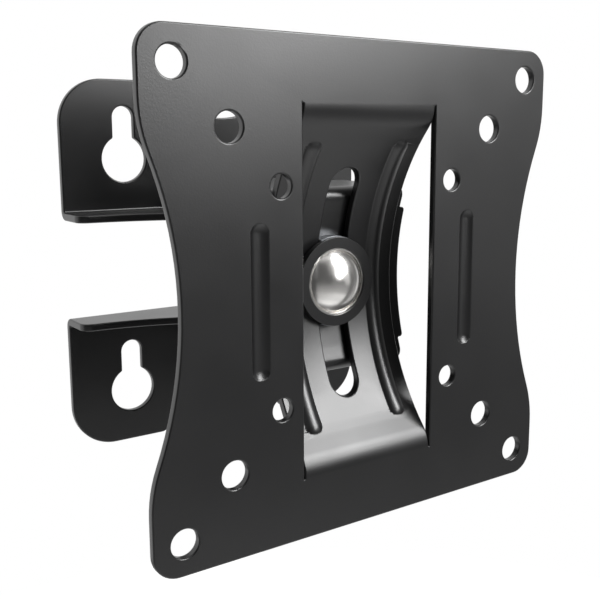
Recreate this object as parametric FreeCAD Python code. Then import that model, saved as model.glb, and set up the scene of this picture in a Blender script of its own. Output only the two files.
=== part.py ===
import FreeCAD, Part
import math
import os

# Tilting wall mount for a small screen: a pressed wall bracket, a pressed tilt plate and one clamp bolt.
# Millimetres. Z is up, the screen side faces -Y, and the wall plane is y = 0.
# The origin is the centre of the four keyholes, on the wall plane.

# Sheets and clearances
sheet = 2.0                 # thickness of the tilt plate and of the wall bracket
inner_bend = 0.6            # inside radius of the bracket's bends
running_gap = 0.3           # between curved faces that slide past each other
fit_gap = 0.05              # between pieces that are clamped together
guide_gap = 0.25            # on each side of the guide block, in the strap's slot

# Where the plate stands
standoff = 73.5             # wall plane to the front of the tilt plate
plate_rise = 3.25           # centre of the plate above the centre of the keyholes

# Tilt plate
plate_size = 114.8          # square plate, side to side
plate_corner = 6.0
waist_width = 98.8          # across the plate at its middle
waist_radius = 90.0
waist_blend = 30.0
large_pitch = 100.0         # hole to hole, square patterns
middle_pitch = 75.0
small_pitch = 50.0
large_hole = 6.6            # hole diameters
middle_hole = 6.6
small_hole = 5.3
plate_bead_offset = 30.5    # centre line of the long bead beside the window
plate_bead_length = 35.0
plate_bead_width = 5.0
plate_bead_depth = 1.0

# Strap, pressed back out of the plate in an arc about the tilt axis
strap_width = 38.0
strap_radius = 56.3         # front face of the strap, from the tilt axis
strap_depth = 16.35         # front of the plate to the strap's deepest front face
strap_bend = 8.0            # front radius of the bend between plate and arc
lance_gap = 0.3             # sheared gap beside the strap
slot_width = 8.5
slot_length = 56.6
strap_bead_offset = 12.8
strap_bead_reach = 34.7     # height of the bead's end above the middle
strap_bead_width = 5.0
strap_bead_height = 1.0
strap_groove_width = 2.6    # groove that the punch leaves behind the bead

# Wall bracket, one sheet folded to a deep channel with ears
ear_width = 96.0
ear_height = 101.4
ear_corner = 12.0
scallop_radius = 26.0
scallop_floor = 40.8        # height of the scallop's lowest point above the middle
scallop_blend = 3.0
tab_level = 15.3            # outer face of the ears' stiffening tabs, above the middle
tab_depth = 12.8            # wall plane to the front edge of the tabs, at the ear's side
tab_sweep = 66.0            # radius of the front edge, which sweeps forward towards the middle
tab_corner = 3.0
neck_level = 23.4           # outer face of the neck's flanges, above the middle
neck_width = 44.0           # width of the folded strip that runs from the ears to the saddle
neck_root_width = 26.0      # width of the same strip between the tabs
neck_root_depth = 31.0      # wall plane to where the strip widens
neck_shoulder = 1.5         # chamfer of the wide part's rear corners
neck_relief = 1.0           # slit between the neck's root and each tab
neck_slit_end = 25.5        # height of the slit's end above the middle
wing_width = 47.2           # across the saddle's wings, which stand out beside the neck
wing_height = 34.8
wing_corner = 1.0

# Keyholes
keyhole_pitch_x = 60.6
keyhole_pitch_z = 65.3
keyhole_head = 12.7         # diameter of the entry circle
keyhole_slot = 6.06         # width of the slot above it
keyhole_travel = 11.2       # entry centre to slot end centre

# Clamp: black ring, dished cup, domed bolt, guide block, washers and nut
ring_radius = 11.1
ring_bore = 8.45            # radius of the ring's opening
ring_front = 13.7           # front of the plate to the ring's front face
cup_wall = 0.5
cup_floor = 0.6
cup_recess = 0.25           # cup's rim behind the ring's face
head_radius = 7.75
head_land = 0.6             # straight side of the bolt head
head_rise = 3.4             # dome above the land
neck_square = 6.0           # square neck under the head
bolt_size = 6.0             # thread diameter
bolt_tail = 2.6             # bolt beyond the nut
hole_play = 0.6             # bolt hole wider than the bolt
guide_reach = 11.3          # half the height of the guide block
washer_radius = 9.0
washer_thickness = 1.6
spring_radius = 5.9
spring_thickness = 1.6
spring_slit = 0.8
nut_sides = 6
nut_flats = 10.0            # across the flats
nut_height = 5.0

# Places worked out from the sizes above
plate_front = -standoff
axis_y = plate_front + strap_depth - strap_radius
saddle_radius = strap_radius + sheet + running_gap
outer_bend = inner_bend + sheet
bore_radius = (bolt_size + hole_play) / 2
guide_front_radius = strap_radius - running_gap + fit_gap
guide_back_radius = saddle_radius - fit_gap
saddle_back = axis_y + saddle_radius + sheet
spring_front = saddle_back + washer_thickness
nut_front = spring_front + spring_thickness
bolt_end = nut_front + nut_height + bolt_tail
neck_half = neck_square / 2 + fit_gap
cup_radius = ring_bore - fit_gap
cup_bore = cup_radius - cup_wall
floor_back_radius = strap_radius - running_gap
floor_front_radius = floor_back_radius - cup_floor
far = standoff + plate_size
past = 1.0                  # how far a cutter runs beyond a face
close = 0.01                # how near an edge's middle lies to where it is looked for
up = FreeCAD.Vector(0, 0, 1)
back = FreeCAD.Vector(0, 1, 0)
right = FreeCAD.Vector(1, 0, 0)


def at(x, y, z):
    return FreeCAD.Vector(x, y, z)


def middle_of(edge):
    return edge.valueAt((edge.FirstParameter + edge.LastParameter) / 2)


def edges_where(shape, test):
    return [edge for edge in shape.Edges if test(middle_of(edge))]


def block(x_low, x_high, y_low, y_high, z_low, z_high):
    return Part.makeBox(x_high - x_low, y_high - y_low, z_high - z_low, at(x_low, y_low, z_low))


def rod(x, z, radius, y_low, y_high):
    return Part.makeCylinder(radius, y_high - y_low, at(x, y_low, z), back)


# Cylinder about the tilt axis
def drum(radius):
    return Part.makeCylinder(radius, 2 * far, at(-far, axis_y, 0), right)


# Depth of an arc about the tilt axis at a height above it
def drum_y(radius, height):
    return axis_y + math.sqrt(radius ** 2 - height ** 2)


# Radius of the round tool that presses a bead of this width and height
def bead_radius(width, height):
    return (width ** 2 / 4 + height ** 2) / (2 * height)


# Upright bar with round ends, from front to back
def slot_bar(x, half_length, radius, y_low, y_high):
    middle = block(x - radius, x + radius, y_low, y_high, -half_length, half_length)
    ends = [rod(x, z, radius, y_low, y_high) for z in (-half_length, half_length)]
    return middle.fuse(ends).removeSplitter()


# Straight bead tool with round ends, upright
def upright_capsule(x, y, half_length, radius):
    body = Part.makeCylinder(radius, 2 * half_length, at(x, y, -half_length), up)
    ends = [Part.makeSphere(radius, at(x, y, z)) for z in (-half_length, half_length)]
    return body.fuse(ends).removeSplitter()


# Bead tool with round ends that follows the strap's arc
def arc_capsule(x, radius):
    path_radius = strap_radius + bead_radius(strap_bead_width, strap_bead_height) - strap_bead_height
    reach = math.asin(strap_bead_reach / strap_radius) - strap_bead_width / 2 / strap_radius
    start = at(x, axis_y + path_radius * math.cos(reach), -path_radius * math.sin(reach))
    finish = at(start.x, start.y, -start.z)
    tangent = at(0, math.sin(reach), math.cos(reach))
    disc = Part.Face(Part.Wire([Part.makeCircle(radius, start, tangent)]))
    body = disc.revolve(at(x, axis_y, 0), right, 2 * math.degrees(reach))
    ends = [Part.makeSphere(radius, centre) for centre in (start, finish)]
    return body.fuse(ends).removeSplitter()


def arc_through(first, middle, last):
    return Part.Arc(first, middle, last).toShape()


# Side profile of the strap, from bend to bend, extruded across its width
def strap_sheet():
    rise = math.sqrt((strap_radius + strap_bend) ** 2 - (strap_radius - strap_depth + strap_bend) ** 2)
    bend_y = plate_front + strap_bend
    slope = math.atan2(rise, bend_y - axis_y)
    edges = []
    for depth in (0, sheet):
        radius = strap_bend - depth
        join_y = axis_y + (strap_radius + depth) * math.cos(slope)
        join_z = (strap_radius + depth) * math.sin(slope)
        turn_y = bend_y - radius * math.cos(slope / 2)
        turn_z = rise - radius * math.sin(slope / 2)
        left = -strap_width / 2
        corner_y = plate_front + depth
        apex = at(left, axis_y + strap_radius + depth, 0)
        edges.append(arc_through(at(left, join_y, join_z), apex, at(left, join_y, -join_z)))
        for side in (-1, 1):
            corner = at(left, corner_y, side * rise)
            turn = at(left, turn_y, side * turn_z)
            edges.append(arc_through(corner, turn, at(left, join_y, side * join_z)))
    for side in (-1, 1):
        low = at(-strap_width / 2, plate_front, side * rise)
        edges.append(Part.makeLine(low, low + back * sheet))
    outline = Part.Wire(Part.__sortEdges__(edges))
    return Part.Face(outline).extrude(right * strap_width), rise


# Square plate with round corners and a waist on each side
def plate_blank():
    half = plate_size / 2
    plate_back = plate_front + sheet
    blank = block(-half, half, plate_front, plate_back, -half, half)
    corners = edges_where(blank, lambda p: abs(p.x) > half - past and abs(p.z) > half - past)
    blank = blank.makeFillet(plate_corner, corners)
    for side in (-1, 1):
        centre = side * (waist_width / 2 + waist_radius)
        blank = blank.cut(rod(centre, 0, waist_radius, plate_front - past, plate_back + past))
    crossing = math.sqrt(waist_radius ** 2 - (waist_width / 2 + waist_radius - half) ** 2)
    shoulders = edges_where(blank, lambda p: abs(abs(p.z) - crossing) < close and abs(p.x) > half - close)
    return blank.makeFillet(waist_blend, shoulders)


def screw_holes():
    plate_back = plate_front + sheet
    holes = []
    for pitch, hole in ((large_pitch, large_hole), (middle_pitch, middle_hole), (small_pitch, small_hole)):
        for x in (-pitch / 2, pitch / 2):
            for z in (-pitch / 2, pitch / 2):
                holes.append(rod(x, z, hole / 2, plate_front - past, plate_back + past))
    return holes


def tilt_plate():
    strap, rise = strap_sheet()
    plate_back = plate_front + sheet
    window_half = strap_width / 2 + lance_gap
    body = plate_blank()
    body = body.cut(block(-window_half, window_half, plate_front - past, plate_back + past, -rise, rise))
    body = body.cut(screw_holes())
    # Long beads beside the window, pressed back: a groove in front and a ridge behind
    tool = bead_radius(plate_bead_width, plate_bead_depth)
    tool_y = plate_front + plate_bead_depth - tool
    reach = (plate_bead_length - plate_bead_width) / 2
    behind = block(-far, far, plate_front + sheet / 2, far, -far, far)
    for side in (-1, 1):
        x = side * plate_bead_offset
        ridge = upright_capsule(x, tool_y, reach, tool + sheet).common(behind)
        body = body.fuse(ridge).cut(upright_capsule(x, tool_y, reach, tool))
    # Strap with its slot and the two beads that stand towards the screen
    tool = bead_radius(strap_bead_width, strap_bead_height)
    groove_half = strap_groove_width / 2
    groove_end = strap_bead_reach - strap_bead_width / 2
    for side in (-1, 1):
        x = side * strap_bead_offset
        ridge = arc_capsule(x, tool).common(drum(strap_radius + sheet / 2))
        left, right = x - groove_half, x + groove_half
        groove = block(left, right, plate_front + sheet, saddle_back, -groove_end, groove_end)
        groove = groove.cut(drum(strap_radius + sheet - strap_bead_height))
        strap = strap.fuse(ridge).cut(groove)
    slot_half = (slot_length - slot_width) / 2
    strap = strap.cut(slot_bar(0, slot_half, slot_width / 2, plate_front, saddle_back))
    return body.fuse(strap).removeSplitter()


# Block between two level flanges, closed in front by the saddle's face, with that edge rounded
def channel_block(half_width, level, inset, edge_radius):
    high = level - inset
    face_radius = saddle_radius + inset
    body = block(-half_width, half_width, plate_front, 0, -high, high).cut(drum(face_radius))
    front = drum_y(face_radius, high)
    lips = edges_where(body, lambda p: abs(p.y - front) < close and abs(abs(p.z) - high) < close)
    return body.makeFillet(edge_radius, lips)


# Ears: a flat sheet on the wall with round corners and a scallop above and below
def ear_sheet():
    half_width = ear_width / 2
    half_height = ear_height / 2
    ears = block(-half_width, half_width, -sheet, 0, -half_height, half_height)
    corners = edges_where(ears, lambda p: abs(p.x) > half_width - past and abs(p.z) > half_height - past)
    ears = ears.makeFillet(ear_corner, corners)
    for side in (-1, 1):
        ears = ears.cut(rod(0, side * (scallop_floor + scallop_radius), scallop_radius, -sheet - past, past))
    crossing = math.sqrt(scallop_radius ** 2 - (scallop_floor + scallop_radius - half_height) ** 2)
    lips = edges_where(ears, lambda p: abs(abs(p.x) - crossing) < close and abs(p.z) > half_height - close)
    return ears.makeFillet(scallop_blend, lips)


def keyhole_cutters():
    cutters = []
    for x in (-keyhole_pitch_x / 2, keyhole_pitch_x / 2):
        for z in (-keyhole_pitch_z / 2 - plate_rise, keyhole_pitch_z / 2 - plate_rise):
            half = keyhole_slot / 2
            entry = rod(x, z, keyhole_head / 2, -sheet - past, past)
            slot = block(x - half, x + half, -sheet - past, past, z, z + keyhole_travel)
            end = rod(x, z + keyhole_travel, half, -sheet - past, past)
            cutters.append(entry.fuse([slot, end]).removeSplitter())
    return cutters


# Hat section folded from one sheet: flat ears, flanges at one level and the saddle in front
def folded_sheet(level):
    half_width = ear_width / 2
    wide = half_width + ear_corner
    outside = channel_block(half_width, level, 0, outer_bend).fuse(ear_sheet()).removeSplitter()

    def in_front_corner(p):
        return abs(p.y + sheet) < close and abs(abs(p.z) - level) < close

    outside = outside.makeFillet(inner_bend, edges_where(outside, in_front_corner))
    room = block(-wide, wide, 0, outer_bend, -far, far)
    inside = channel_block(wide, level, sheet, inner_bend).fuse(room).removeSplitter()

    def in_back_corner(p):
        return abs(p.y) < close and abs(abs(p.z) - level + sheet) < close

    inside = inside.makeFillet(outer_bend, edges_where(inside, in_back_corner))
    return outside.cut(inside)


# What is kept of the sheet that folds at the tabs' level: both sides, with a swept front edge
# and round corners
def tab_prisms():
    half_width = ear_width / 2
    inner = neck_root_width / 2 + neck_relief
    prisms = []
    for side in (-1, 1):
        low, high = sorted((side * inner, side * half_width))
        prism = block(low, high, -neck_root_depth, past, -far, far)
        sweep = Part.makeCylinder(tab_sweep, 2 * far, at(side * half_width, -tab_depth - tab_sweep, -far), up)
        prism = prism.cut(sweep)
        corner = edges_where(prism, lambda p: math.hypot(abs(p.x) - half_width, p.y + tab_depth) < close)
        prisms.append(prism.makeFillet(tab_corner, corner))
    return prisms


# What is kept of the sheet that folds at the neck's level: the root, the wider neck and the
# wings on the saddle
def neck_prism():
    root = neck_root_width / 2
    half = neck_width / 2
    reach = wing_width / 2
    high = wing_height / 2
    neck = block(-root, root, -neck_root_depth - past, past, -far, far)
    wide = block(-half, half, plate_front, -neck_root_depth, -far, far)
    shoulders = edges_where(wide, lambda p: abs(abs(p.x) - half) < close and p.y > -neck_root_depth - close)
    wide = wide.makeChamfer(neck_shoulder, shoulders)
    wings = block(-reach, reach, plate_front, saddle_back, -high, high)
    corners = edges_where(wings, lambda p: abs(abs(p.x) - reach) < close and abs(abs(p.z) - high) < close)
    return neck.fuse([wide, wings.makeFillet(wing_corner, corners)])


# Strips of ear above and below the slits, which join the neck's ears to the tabs' ears
def slit_bridges():
    inner = neck_root_width / 2
    bridges = []
    for side in (-1, 1):
        low, high = sorted((side * inner, side * (inner + neck_relief)))
        for end in (-1, 1):
            bottom, top = sorted((end * neck_slit_end, end * far))
            bridges.append(ear_sheet().common(block(low, high, -sheet, 0, bottom, top)))
    return bridges


def wall_bracket():
    sides = folded_sheet(tab_level)
    tabs = [sides.common(prism) for prism in tab_prisms()]
    neck = folded_sheet(neck_level).common(neck_prism())
    bracket = neck.fuse(tabs + slit_bridges()).removeSplitter()
    bracket = bracket.cut(keyhole_cutters())
    return bracket.cut(rod(0, 0, bore_radius, plate_front, saddle_back + past))


# Black ring whose back follows the strap and clears its beads
def clamp_ring():
    front = plate_front + ring_front
    ring = rod(0, 0, ring_radius, front, front + far)
    ring = ring.cut(rod(0, 0, ring_bore, front - past, front + far))
    ring = ring.common(drum(strap_radius - running_gap))
    clear = strap_bead_offset - strap_bead_width / 2 - running_gap
    raised = drum(strap_radius - strap_bead_height - running_gap)
    for low, high in ((-far, -clear), (clear, far)):
        ring = ring.cut(block(low, high, front, 0, -far, far).cut(raised))
    return ring


def neck_cutter(y_low, y_high):
    return block(-neck_half, neck_half, y_low, y_high, -neck_half, neck_half)


# Bright dished cup inside the ring, with a floor that follows the strap
def cup_washer():
    front = plate_front + ring_front + cup_recess
    body = rod(0, 0, cup_radius, front, front + far).common(drum(floor_back_radius))
    hollow = rod(0, 0, cup_bore, front - past, front + far).common(drum(floor_front_radius))
    return body.cut(hollow).cut(neck_cutter(front, 0))


# Guide block in the slot: a disc cut down to two flats, square inside
def guide_block():
    half = slot_width / 2 - guide_gap
    disc = rod(0, 0, guide_reach, plate_front, 0)
    disc = disc.common(block(-half, half, plate_front, 0, -far, far))
    disc = disc.common(drum(guide_back_radius)).cut(drum(guide_front_radius))
    return disc.cut(neck_cutter(plate_front, 0))


# Domed bolt with a square neck, seated on the cup's floor
def tilt_bolt():
    seat = drum_y(floor_front_radius, head_radius)
    shoulder = seat - head_land
    tip = shoulder - head_rise
    ball = bead_radius(2 * head_radius, head_rise)
    head = rod(0, 0, head_radius, tip - past, seat).common(Part.makeSphere(ball, at(0, tip + ball, 0)))
    neck_end = drum_y(guide_back_radius, neck_square / 2)
    half = neck_square / 2
    neck = block(-half, half, seat, neck_end, -half, half)
    shank = rod(0, 0, bolt_size / 2, seat, bolt_end)
    return head.fuse([neck, shank]).removeSplitter()


def flat_washer():
    disc = rod(0, 0, washer_radius, saddle_back, spring_front)
    return disc.cut(rod(0, 0, bore_radius, saddle_back - past, spring_front + past))


# Spring washer, cut through at one side
def spring_washer():
    ring = rod(0, 0, spring_radius, spring_front, nut_front)
    ring = ring.cut(rod(0, 0, bore_radius, spring_front - past, nut_front + past))
    half_slit = spring_slit / 2
    slit = block(0, 2 * spring_radius, spring_front - past, nut_front + past, -half_slit, half_slit)
    return ring.cut(slit)


def lock_nut():
    corner = nut_flats / 2 / math.cos(math.pi / nut_sides)
    points = []
    for step in range(nut_sides + 1):
        angle = 2 * math.pi * step / nut_sides
        points.append(at(corner * math.cos(angle), nut_front, corner * math.sin(angle)))
    body = Part.Face(Part.makePolygon(points)).extrude(back * nut_height)
    return body.cut(rod(0, 0, bolt_size / 2 + fit_gap, nut_front - past, nut_front + nut_height + past))


pieces = {
    "wall_bracket": wall_bracket(),
    "tilt_plate": tilt_plate(),
    "clamp_ring": clamp_ring(),
    "cup_washer": cup_washer(),
    "guide_block": guide_block(),
    "tilt_bolt": tilt_bolt(),
    "flat_washer": flat_washer(),
    "spring_washer": spring_washer(),
    "lock_nut": lock_nut(),
}

os.makedirs("parts", exist_ok=True)
for name, shape in pieces.items():
    shape.translate(up * plate_rise)
    shape.exportStep("parts/" + name + ".step")
    print(name, "solids", len(shape.Solids), "valid", shape.isValid(), "volume", round(shape.Volume, 1))
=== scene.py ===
import bpy
import math
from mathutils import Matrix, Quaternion, Vector


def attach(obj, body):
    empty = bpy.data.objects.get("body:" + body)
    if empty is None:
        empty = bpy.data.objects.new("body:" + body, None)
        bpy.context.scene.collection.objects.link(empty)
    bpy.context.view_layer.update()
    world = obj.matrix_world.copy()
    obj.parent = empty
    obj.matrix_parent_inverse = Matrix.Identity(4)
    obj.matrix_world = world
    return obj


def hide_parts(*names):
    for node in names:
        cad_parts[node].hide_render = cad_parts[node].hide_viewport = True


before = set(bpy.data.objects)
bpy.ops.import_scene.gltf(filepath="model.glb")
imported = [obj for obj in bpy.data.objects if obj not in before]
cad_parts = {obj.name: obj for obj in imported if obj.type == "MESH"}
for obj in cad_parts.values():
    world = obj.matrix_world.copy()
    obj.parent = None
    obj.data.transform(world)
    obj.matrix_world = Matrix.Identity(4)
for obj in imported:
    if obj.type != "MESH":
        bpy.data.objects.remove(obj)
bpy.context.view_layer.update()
mm = 0.001
boltAxisMm = 3.25        # height of the bolt's axis above the origin
nearMm = 0.05            # vertices this near to a level belong to it
print("frame loaded")


# Helpers

def hexColour(text):  # sRGB hex to linear, with full alpha
    parts = [int(text[i:i + 2], 16) / 255 for i in (0, 2, 4)]
    return [c / 12.92 if c <= 0.04045 else ((c + 0.055) / 1.055) ** 2.4 for c in parts] + [1.0]


def addNode(tree, kind, settings, links=()):  # one node, its settings and its links
    node = tree.nodes.new(kind)
    for key, value in settings.items():
        if isinstance(key, int) or key in node.inputs.keys():
            node.inputs[key].default_value = value
        else:
            setattr(node, key, value)
    for source, output, target in links:
        tree.links.new(source.outputs[output], node.inputs[target])
    return node


def newMaterial(name):
    material = bpy.data.materials.new(name)
    material.use_nodes = True
    material.node_tree.nodes.clear()
    return material


def pickOnly(piece):
    bpy.ops.object.select_all(action="DESELECT")
    piece.select_set(True)
    bpy.context.view_layer.objects.active = piece


def boltDistance(point):  # distance from the bolt's axis
    return math.hypot(point.x, point.z - boltAxisMm * mm)


# Materials

texture = {
    "low": 0.3,           # most values of a noise lie between these two
    "high": 0.7,
    "bumpMm": 0.1,
}


def addNoise(tree, place, sizeMm, detail):  # noise in object coordinates with patches of about this size
    return addNode(tree, "ShaderNodeTexNoise", {"Scale": 1 / (sizeMm * mm), "Detail": detail},
                   [(place, "Object", "Vector")])


def addGloss(tree, noise, finish):  # roughness that wanders a little about its mean
    return addNode(tree, "ShaderNodeMapRange",
                   {"From Min": texture["low"], "From Max": texture["high"],
                    "To Min": finish["roughness"] - finish["roughnessPlay"],
                    "To Max": finish["roughness"] + finish["roughnessPlay"]}, [(noise, "Fac", "Value")])


def addBump(tree, noise, strength):
    return addNode(tree, "ShaderNodeBump", {"Strength": strength, "Distance": texture["bumpMm"] * mm},
                   [(noise, "Fac", "Height")])


def addSurface(tree, settings, links):  # the shader and the output that it feeds
    shader = addNode(tree, "ShaderNodeBsdfPrincipled", settings, links)
    addNode(tree, "ShaderNodeOutputMaterial", {}, [(shader, "BSDF", "Surface")])


powderCoat = {
    "colour": "070708",
    "roughness": 0.32,
    "roughnessPlay": 0.02,
    "grainMm": 0.4,       # a powder coat's orange peel is finer, drawn this coarse to show
    "grainDetail": 1.5,
    "grainHeight": 0.11,
    "cloudMm": 14.0,      # slow change of gloss over a sprayed sheet
    "cloudDetail": 3.0,
    "ior": 1.5,
    "specular": 0.75,
}


def powderCoatMaterial():  # satin black powder coat on pressed steel: broad soft gloss, faint orange peel
    material = newMaterial("satinBlackPowderCoat")
    tree = material.node_tree
    place = addNode(tree, "ShaderNodeTexCoord", {})
    grain = addNoise(tree, place, powderCoat["grainMm"], powderCoat["grainDetail"])
    cloud = addNoise(tree, place, powderCoat["cloudMm"], powderCoat["cloudDetail"])
    gloss = addGloss(tree, cloud, powderCoat)
    bump = addBump(tree, grain, powderCoat["grainHeight"])
    addSurface(tree, {"Base Color": hexColour(powderCoat["colour"]), "IOR": powderCoat["ior"],
                      "Specular IOR Level": powderCoat["specular"]},
               [(gloss, "Result", "Roughness"), (bump, "Normal", "Normal")])
    return material


blackedSteel = {
    "colour": "0d0d0e",
    "roughness": 0.30,
    "markMm": 0.25,       # turning marks round the bolt
    "markHeight": 0.03,
    "specular": 0.75,
}


def blackedSteelMaterial():  # turned steel ring, black oxide finish: dark satin with faint turning marks
    material = newMaterial("blackOxideSteel")
    tree = material.node_tree
    place = addNode(tree, "ShaderNodeTexCoord", {})
    centred = addNode(tree, "ShaderNodeMapping", {"Location": (0, 0, -boltAxisMm * mm)},
                      [(place, "Object", "Vector")])
    parts = addNode(tree, "ShaderNodeSeparateXYZ", {}, [(centred, "Vector", "Vector")])
    squareX = addNode(tree, "ShaderNodeMath", {"operation": "POWER", 1: 2.0}, [(parts, "X", 0)])
    squareZ = addNode(tree, "ShaderNodeMath", {"operation": "POWER", 1: 2.0}, [(parts, "Z", 0)])
    both = addNode(tree, "ShaderNodeMath", {"operation": "ADD"}, [(squareX, 0, 0), (squareZ, 0, 1)])
    radius = addNode(tree, "ShaderNodeMath", {"operation": "SQRT"}, [(both, 0, 0)])
    scale = 1 / (blackedSteel["markMm"] * mm)
    marks = addNode(tree, "ShaderNodeTexNoise", {"noise_dimensions": "1D", "Scale": scale}, [(radius, 0, "W")])
    bump = addBump(tree, marks, blackedSteel["markHeight"])
    addSurface(tree, {"Base Color": hexColour(blackedSteel["colour"]),
                      "Roughness": blackedSteel["roughness"], "Specular IOR Level": blackedSteel["specular"]},
               [(bump, "Normal", "Normal")])
    return material


polishedSteel = {
    "colour": "eceae7",
    "roughness": 0.23,
    "roughnessPlay": 0.03,
    "smearMm": 3.0,       # uneven strokes of the buffing wheel
    "smearDetail": 2.0,
}


def polishedSteelMaterial():  # pressed and buffed stainless steel: blurred mirror, a little uneven
    material = newMaterial("buffedStainlessSteel")
    tree = material.node_tree
    place = addNode(tree, "ShaderNodeTexCoord", {})
    smear = addNoise(tree, place, polishedSteel["smearMm"], polishedSteel["smearDetail"])
    gloss = addGloss(tree, smear, polishedSteel)
    addSurface(tree, {"Base Color": hexColour(polishedSteel["colour"]), "Metallic": 1.0},
               [(gloss, "Result", "Roughness")])
    return material


zincSteel = {
    "bright": "c9ccd0",
    "dull": "a9adb2",
    "dullBelow": 0.35,    # values of the noise where the tones begin to mix
    "brightAbove": 0.65,
    "roughness": 0.32,
    "patchMm": 1.6,       # crystals of the zinc, drawn coarse to show
    "patchDetail": 4.0,
}


def zincSteelMaterial():  # blue-white zinc plate on turned fasteners: cool grey metal, uneven patches
    material = newMaterial("brightZincPlate")
    tree = material.node_tree
    place = addNode(tree, "ShaderNodeTexCoord", {})
    patch = addNoise(tree, place, zincSteel["patchMm"], zincSteel["patchDetail"])
    tone = addNode(tree, "ShaderNodeValToRGB", {}, [(patch, "Fac", "Fac")])
    tone.color_ramp.elements[0].position = zincSteel["dullBelow"]
    tone.color_ramp.elements[0].color = hexColour(zincSteel["dull"])
    tone.color_ramp.elements[1].position = zincSteel["brightAbove"]
    tone.color_ramp.elements[1].color = hexColour(zincSteel["bright"])
    addSurface(tree, {"Metallic": 1.0, "Roughness": zincSteel["roughness"]}, [(tone, "Color", "Base Color")])
    return material


blackPaint = powderCoatMaterial()
blackOxide = blackedSteelMaterial()
brightSteel = polishedSteelMaterial()
zincPlate = zincSteelMaterial()
print("materials made")

# Cup washer's rim

cupRim = {
    "edgeRadiusMm": 8.2,  # the rim lies outside this radius from the bolt's axis
    "fallMm": 0.3,        # how far the rolled rim falls back towards the ring
}


def rollRim(cup):  # the cup's front outer edge is pressed back, so its rim slopes outward
    front = min(v.co.y for v in cup.data.vertices)
    for v in cup.data.vertices:
        v.select = v.co.y < front + nearMm * mm and boltDistance(v.co) > cupRim["edgeRadiusMm"] * mm
    bpy.ops.object.mode_set(mode="EDIT")
    bpy.ops.transform.translate(value=(0, cupRim["fallMm"] * mm, 0))
    bpy.ops.object.mode_set(mode="OBJECT")


# Lock nut's corners

lockNut = {
    "cornerRadiusMm": 5.85,  # a little outside the corners of the hexagon
    "heightMm": 5.0,
    "frontMm": -49.65,
    "chamferMm": 0.75,       # turned cone that rounds the six corners
    "creaseDeg": 60,         # only the blank's two rims are sharper than this
    "facets": 72,
}


def turnCorners(nut):  # the hexagon is kept only where the turned blank has metal
    bpy.ops.object.select_all(action="DESELECT")
    middle = (0, (lockNut["frontMm"] + lockNut["heightMm"] / 2) * mm, boltAxisMm * mm)
    bpy.ops.mesh.primitive_cylinder_add(vertices=lockNut["facets"], radius=lockNut["cornerRadiusMm"] * mm,
                                        depth=lockNut["heightMm"] * mm, location=middle,
                                        rotation=(math.radians(90), 0, 0))
    blank = bpy.context.object
    blank.name = "nutBlank"
    turned = blank.modifiers.new("turned", "BEVEL")
    turned.width = lockNut["chamferMm"] * mm
    turned.segments = 1
    turned.limit_method = "ANGLE"
    turned.angle_limit = math.radians(lockNut["creaseDeg"])
    bpy.ops.object.modifier_apply(modifier="turned")
    pickOnly(nut)
    corners = nut.modifiers.new("corners", "BOOLEAN")
    corners.operation = "INTERSECT"
    corners.object = blank
    corners.solver = "EXACT"
    bpy.ops.object.modifier_apply(modifier="corners")
    bpy.data.objects.remove(blank, do_unlink=True)


# Tilt bolt's head and tail

boltHead = {
    "rimRadiusMm": 7.6,    # the head's rim lies outside this radius
    "segments": 3,
}
boltThread = {
    "crestRadiusMm": 3.0,
    "rootRadiusMm": 2.62,
    "pitchMm": 1.0,        # coarse pitch of this thread size
    "startMm": -44.9,      # just inside the nut
    "endMm": -42.05,
    "leadInMm": 0.35,      # chamfer at the bolt's end
    "runOutMm": 0.1,       # length over which the shank narrows to the root
    "stepsPerTurn": 48,
    "ridgeSides": 6,
    "ridgeShare": 1.05,    # the ridge's own radius against the thread's depth, so it bites into the root
    "creaseDeg": 35,
}


def roundHead(bolt, edge):  # rounds the head's rim and the end of the tail
    for e in bolt.data.edges:
        ends = [bolt.data.vertices[k].co for k in e.vertices]
        rim = all(boltDistance(c) > boltHead["rimRadiusMm"] * mm for c in ends)
        tip = all(c.y > (boltThread["endMm"] - nearMm) * mm for c in ends)
        e.select = rim or tip
    bpy.ops.object.mode_set(mode="EDIT")
    bpy.ops.mesh.select_mode(type="EDGE")
    bpy.ops.mesh.bevel(offset=edge * mm, segments=boltHead["segments"], affect="EDGES", clamp_overlap=True)
    bpy.ops.mesh.select_mode(type="VERT")
    bpy.ops.object.mode_set(mode="OBJECT")


def cutTail(bolt):  # the tail is turned down to the thread's root
    start = boltThread["startMm"] * mm
    runOut = boltThread["runOutMm"] * mm
    bpy.ops.object.mode_set(mode="EDIT")
    for place in (start, start + runOut):
        bpy.ops.mesh.select_all(action="SELECT")
        bpy.ops.mesh.bisect(plane_co=(0, place, 0), plane_no=(0, 1, 0))
    bpy.ops.mesh.select_all(action="DESELECT")
    bpy.ops.object.mode_set(mode="OBJECT")
    for v in bolt.data.vertices:
        v.select = v.co.y > start + runOut / 2
    bpy.ops.object.mode_set(mode="EDIT")
    share = boltThread["rootRadiusMm"] / boltThread["crestRadiusMm"]
    bpy.ops.transform.resize(value=(share, 1, share), center_override=Vector((0, 0, boltAxisMm * mm)))
    bpy.ops.object.mode_set(mode="OBJECT")


# Dressed copies of the CAD solids, with softened edges

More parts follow.
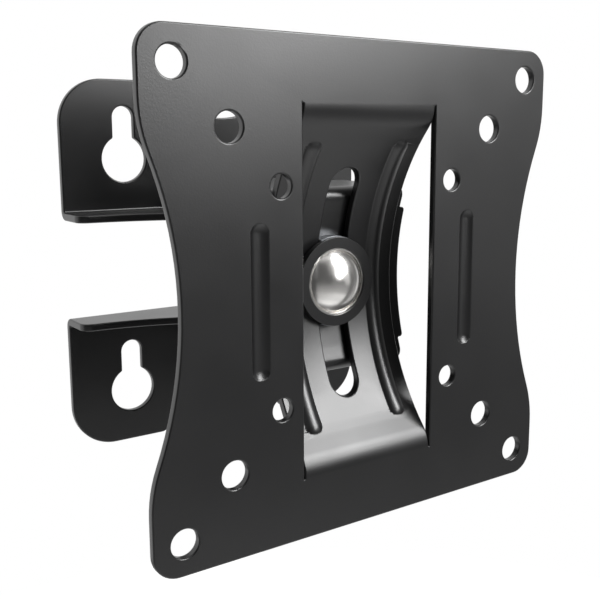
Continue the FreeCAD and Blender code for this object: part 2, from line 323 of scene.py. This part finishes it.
dressed = {
    # piece: node, body, slot, material, width of the softened edges in mm
    "wallBracket": ("wall_bracket", "bracket", "coated_steel", blackPaint, 0.4),
    "tiltPlate": ("tilt_plate", "plate", "coated_steel", blackPaint, 0.4),
    "clampRing": ("clamp_ring", "bracket", "black_steel", blackOxide, 0.3),
    "cupWasher": ("cup_washer", "bracket", "polished_steel", brightSteel, 0.05),
    "guideBlock": ("guide_block", "bracket", "zinc_steel", zincPlate, 0.15),
    "tiltBolt": ("tilt_bolt", "bracket", "polished_steel", brightSteel, 0.45),
    "flatWasher": ("flat_washer", "bracket", "zinc_steel", zincPlate, 0.15),
    "springWasher": ("spring_washer", "bracket", "zinc_steel", zincPlate, 0.12),
    "lockNut": ("lock_nut", "bracket", "zinc_steel", zincPlate, 0.3),
}
softening = {
    "mergeMm": 0.002,
    "flatDeg": 0.4,        # facets nearer to flat than this become one
    "creaseDeg": 55,       # edges sharper than this are rounded
    "segments": 3,
    "smoothDeg": 32,
    "flatWeight": 100,     # large faces keep their own normal
}


def mergedCopy(name, node):  # a copy of a CAD node's mesh as one closed skin, picked alone
    piece = bpy.data.objects.new(name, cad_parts[node].data.copy())
    bpy.context.scene.collection.objects.link(piece)
    pickOnly(piece)
    bpy.ops.object.mode_set(mode="EDIT")
    bpy.ops.mesh.select_all(action="SELECT")
    bpy.ops.mesh.remove_doubles(threshold=softening["mergeMm"] * mm)
    bpy.ops.mesh.dissolve_limited(angle_limit=math.radians(softening["flatDeg"]))
    bpy.ops.mesh.select_all(action="DESELECT")
    bpy.ops.object.mode_set(mode="OBJECT")
    return piece


def roundEdges(piece, edge, clamp):  # clamp keeps the bevel out of slits that are narrower than it
    bevel = piece.modifiers.new("edge", "BEVEL")
    bevel.width = edge * mm
    bevel.segments = softening["segments"]
    bevel.limit_method = "ANGLE"
    bevel.angle_limit = math.radians(softening["creaseDeg"])
    bevel.use_clamp_overlap = clamp
    bpy.ops.object.modifier_apply(modifier="edge")


def smoothFaces(piece):
    bpy.ops.object.shade_smooth_by_angle(angle=math.radians(softening["smoothDeg"]))
    flat = piece.modifiers.new("flat", "WEIGHTED_NORMAL")
    flat.mode = "FACE_AREA"
    flat.weight = softening["flatWeight"]
    flat.keep_sharp = True
    bpy.ops.object.modifier_apply(modifier="flat")


def dressedCopy(name, node, edge):
    piece = mergedCopy(name, node)
    if node == "cup_washer":
        rollRim(piece)
    if node == "lock_nut":
        turnCorners(piece)
    if node == "tilt_bolt":
        roundHead(piece, edge)
        cutTail(piece)
    else:
        roundEdges(piece, edge, clamp=node not in ("wall_bracket", "tilt_plate"))
    smoothFaces(piece)
    return piece


for name, (node, body, slotName, material, edge) in dressed.items():
    piece = dressedCopy(name, node, edge)
    piece.data.materials.clear()
    piece.data.materials.append(material)
    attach(piece, body)
    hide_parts(node)
    print("dressed", name, len(piece.data.polygons))


# Thread on the bolt's tail

def addThread():  # a ridge wound round the tail's root
    bpy.ops.object.select_all(action="DESELECT")
    depth = boltThread["crestRadiusMm"] - boltThread["rootRadiusMm"]
    length = boltThread["endMm"] - boltThread["leadInMm"] - boltThread["startMm"]
    start = Vector((0, boltThread["startMm"], boltAxisMm)) * mm
    bpy.ops.mesh.primitive_circle_add(vertices=boltThread["ridgeSides"],
                                      radius=depth * boltThread["ridgeShare"] * mm, location=start)
    ridge = bpy.context.object
    ridge.name = "boltThread"
    bpy.ops.object.mode_set(mode="EDIT")
    bpy.ops.transform.translate(value=(boltThread["rootRadiusMm"] * mm, 0, 0))
    bpy.ops.object.mode_set(mode="OBJECT")
    winding = ridge.modifiers.new("winding", "SCREW")
    winding.axis = "Y"
    winding.angle = math.tau
    winding.screw_offset = boltThread["pitchMm"] * mm
    winding.iterations = int(length / boltThread["pitchMm"])
    winding.steps = boltThread["stepsPerTurn"]
    winding.render_steps = boltThread["stepsPerTurn"]
    bpy.ops.object.modifier_apply(modifier="winding")
    bpy.ops.object.transform_apply(location=True, rotation=True, scale=True)
    bpy.ops.object.mode_set(mode="EDIT")
    bpy.ops.mesh.select_all(action="SELECT")
    bpy.ops.mesh.edge_face_add()
    bpy.ops.mesh.normals_make_consistent(inside=False)
    bpy.ops.object.mode_set(mode="OBJECT")
    bpy.ops.object.shade_smooth_by_angle(angle=math.radians(boltThread["creaseDeg"]))
    ridge.data.materials.append(brightSteel)
    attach(ridge, "bracket")
    print("thread wound", len(ridge.data.polygons))


addThread()

# Camera, from the plate's holes in the photograph

camera = {
    "place": (-128.22, -235.01, 39.11),  # mm
    "turn": 36.03,                       # degrees right of straight ahead
    "tilt": -9.87,
    "roll": 0.07,
    "focalPixels": 886.3,
    "centrePixel": (335.0, 289.4),
    "frameSize": 600,                    # pixels
    "sensor": 36.0,
    "clipStartMm": 10.0,
}


def addCamera():
    turn, tilt = math.radians(camera["turn"]), math.radians(camera["tilt"])
    look = Vector((math.sin(turn) * math.cos(tilt), math.cos(turn) * math.cos(tilt), math.sin(tilt)))
    roll = Quaternion((0, 0, 1), math.radians(camera["roll"]))
    size = camera["frameSize"]
    bpy.ops.object.camera_add(location=Vector(camera["place"]) * mm)
    made = bpy.context.object
    made.rotation_euler = (look.to_track_quat("-Z", "Y") @ roll).to_euler()
    made.data.sensor_width = camera["sensor"]
    made.data.lens = camera["focalPixels"] / size * camera["sensor"]
    made.data.shift_x = (size / 2 - camera["centrePixel"][0]) / size
    made.data.shift_y = (camera["centrePixel"][1] - size / 2) / size
    made.data.clip_start = camera["clipStartMm"] * mm
    bpy.context.scene.camera = made


addCamera()
print("camera placed")

# Studio: white behind, dim in front, soft lamps to the front right and a white floor below

studio = {
    "centre": (0.0, -60.0, 3.0),  # mm, what the lamps look at
    "roomLight": 0.25,            # on matt surfaces
    "roomFront": 0.10,            # seen in gloss, in front of the plate
    "roomLow": 0.42,              # seen in gloss, below the object
    "lowBand": (-0.05, -0.55),    # upward part of the direction over which front becomes low
    "roomBehind": 1.00,           # seen in gloss, behind the object
    "behindBand": (0.0, 0.15),    # rearward part of the direction
    "roomTop": 0.90,              # seen in gloss, straight above
    "topBand": (0.72, 0.95),
    "lamps": [
        # name, degrees right of straight ahead, degrees up, distance mm, radius mm, radiance
        ("highLamp", 40.0, 42.0, 620.0, 165.0, 9.9),
        ("mainLamp", 40.0, 25.0, 620.0, 140.0, 7.9),
        ("sideLamp", 28.0, 20.0, 620.0, 110.0, 3.3),
        ("lowLamp", 24.0, 13.0, 620.0, 110.0, 4.7),
        ("sideFill", 52.0, 0.0, 620.0, 150.0, 0.45),
    ],
}
floorPlan = {
    "dropMm": 280.0,       # below the origin
    "radiusMm": 430.0,
    "sides": 96,
    "colour": "d4d4d4",
    "lift": 0.75,          # makes the floor white to the eye and keeps the shadow
    "gloss": 0.05,         # the same in gloss
    "paintedPool": 0.75,          # painted pool of light: the floor glows brighter in reflections right below the object
    "paintedPoolRadiusMm": 230.0,
    "paintedPoolCore": 0.4,       # share of that radius where the painted glow is evenly bright
}


def addRange(tree, band, settings, links):  # maps the values of a band to a level
    return addNode(tree, "ShaderNodeMapRange", {"From Min": band[0], "From Max": band[1], **settings}, links)


def addGlow(tree, strength=1.0, links=()):  # white background light
    return addNode(tree, "ShaderNodeBackground", {"Color": (1, 1, 1, 1), "Strength": strength}, links)


def addWorld():
    world = bpy.data.worlds.new("studioWorld")
    bpy.context.scene.world = world
    world.use_nodes = True
    tree = world.node_tree
    tree.nodes.clear()
    path = addNode(tree, "ShaderNodeLightPath", {})
    way = addNode(tree, "ShaderNodeTexCoord", {})
    parts = addNode(tree, "ShaderNodeSeparateXYZ", {}, [(way, "Generated", "Vector")])
    below = addRange(tree, studio["lowBand"], {"To Min": studio["roomFront"], "To Max": studio["roomLow"]},
                     [(parts, "Z", "Value")])
    behind = addRange(tree, studio["behindBand"], {"To Max": studio["roomBehind"]},
                      [(parts, "Y", "Value"), (below, "Result", "To Min")])
    above = addRange(tree, studio["topBand"], {"To Max": studio["roomTop"]}, [(parts, "Z", "Value")])
    around = addNode(tree, "ShaderNodeMath", {"operation": "MAXIMUM"},
                     [(behind, "Result", 0), (above, "Result", 1)])
    inGloss = addGlow(tree, links=[(around, 0, "Strength")])
    lit = addGlow(tree, studio["roomLight"])
    white = addGlow(tree)
    soft = addNode(tree, "ShaderNodeMixShader", {},
                   [(path, "Is Glossy Ray", 0), (lit, 0, 1), (inGloss, 0, 2)])
    clear = addNode(tree, "ShaderNodeMath", {"operation": "MAXIMUM"},
                    [(path, "Is Camera Ray", 0), (path, "Is Transmission Ray", 1)])
    mix = addNode(tree, "ShaderNodeMixShader", {}, [(clear, 0, 0), (soft, 0, 1), (white, 0, 2)])
    addNode(tree, "ShaderNodeOutputWorld", {}, [(mix, 0, "Surface")])


def addLamps():
    centre = Vector(studio["centre"]) * mm
    for name, side, rise, distance, radius, radiance in studio["lamps"]:
        turn, up = math.radians(side), math.radians(rise)
        way = Vector((math.sin(turn) * math.cos(up), -math.cos(turn) * math.cos(up), math.sin(up)))
        bpy.ops.object.light_add(type="AREA", location=centre + way * distance * mm)
        lamp = bpy.context.object
        lamp.name = name
        lamp.data.shape = "DISK"
        lamp.data.size = 2 * radius * mm
        lamp.data.energy = radiance * math.pi * math.pi * (radius * mm) ** 2
        lamp.rotation_euler = (-way).to_track_quat("-Z", "Y").to_euler()
        lamp.visible_camera = False


def floorMaterial():  # pale matt floor, white to the eye, with the object's shadow and a painted pool of light that glows in reflections below the object
    material = newMaterial("paleStudioFloor")
    tree = material.node_tree
    path = addNode(tree, "ShaderNodeLightPath", {})
    matt = addNode(tree, "ShaderNodeBsdfDiffuse", {"Color": hexColour(floorPlan["colour"])})
    place = addNode(tree, "ShaderNodeTexCoord", {})
    away = addNode(tree, "ShaderNodeVectorMath", {"operation": "LENGTH"}, [(place, "Object", 0)])
    paintedPoolEdge = floorPlan["paintedPoolRadiusMm"] * mm
    # painted pool of light: emission seen only in reflections, brightest right below the object and fading
    # towards the edge
    paintedPool = addRange(tree, (floorPlan["paintedPoolCore"] * paintedPoolEdge, paintedPoolEdge),
                    {"To Min": floorPlan["paintedPool"], "To Max": floorPlan["gloss"]}, [(away, "Value", "Value")])
    level = addNode(tree, "ShaderNodeMapRange", {"To Min": floorPlan["lift"]},
                    [(path, "Is Glossy Ray", "Value"), (paintedPool, "Result", "To Max")])
    lift = addNode(tree, "ShaderNodeEmission", {}, [(level, "Result", "Strength")])
    white = addNode(tree, "ShaderNodeAddShader", {}, [(matt, 0, 0), (lift, 0, 1)])
    mix = addNode(tree, "ShaderNodeMixShader", {}, [(path, "Is Diffuse Ray", 0), (white, 0, 1), (matt, 0, 2)])
    addNode(tree, "ShaderNodeOutputMaterial", {}, [(mix, 0, "Surface")])
    return material


def addFloor():
    bpy.ops.object.select_all(action="DESELECT")
    middle = (0, studio["centre"][1] * mm, -floorPlan["dropMm"] * mm)
    bpy.ops.mesh.primitive_circle_add(vertices=floorPlan["sides"], radius=floorPlan["radiusMm"] * mm,
                                      fill_type="NGON", location=middle)
    floor = bpy.context.object
    floor.name = "floor"
    floor.data.materials.append(floorMaterial())


addWorld()
addLamps()
addFloor()
bpy.context.scene.view_settings.view_transform = "Standard"
print("studio lit")
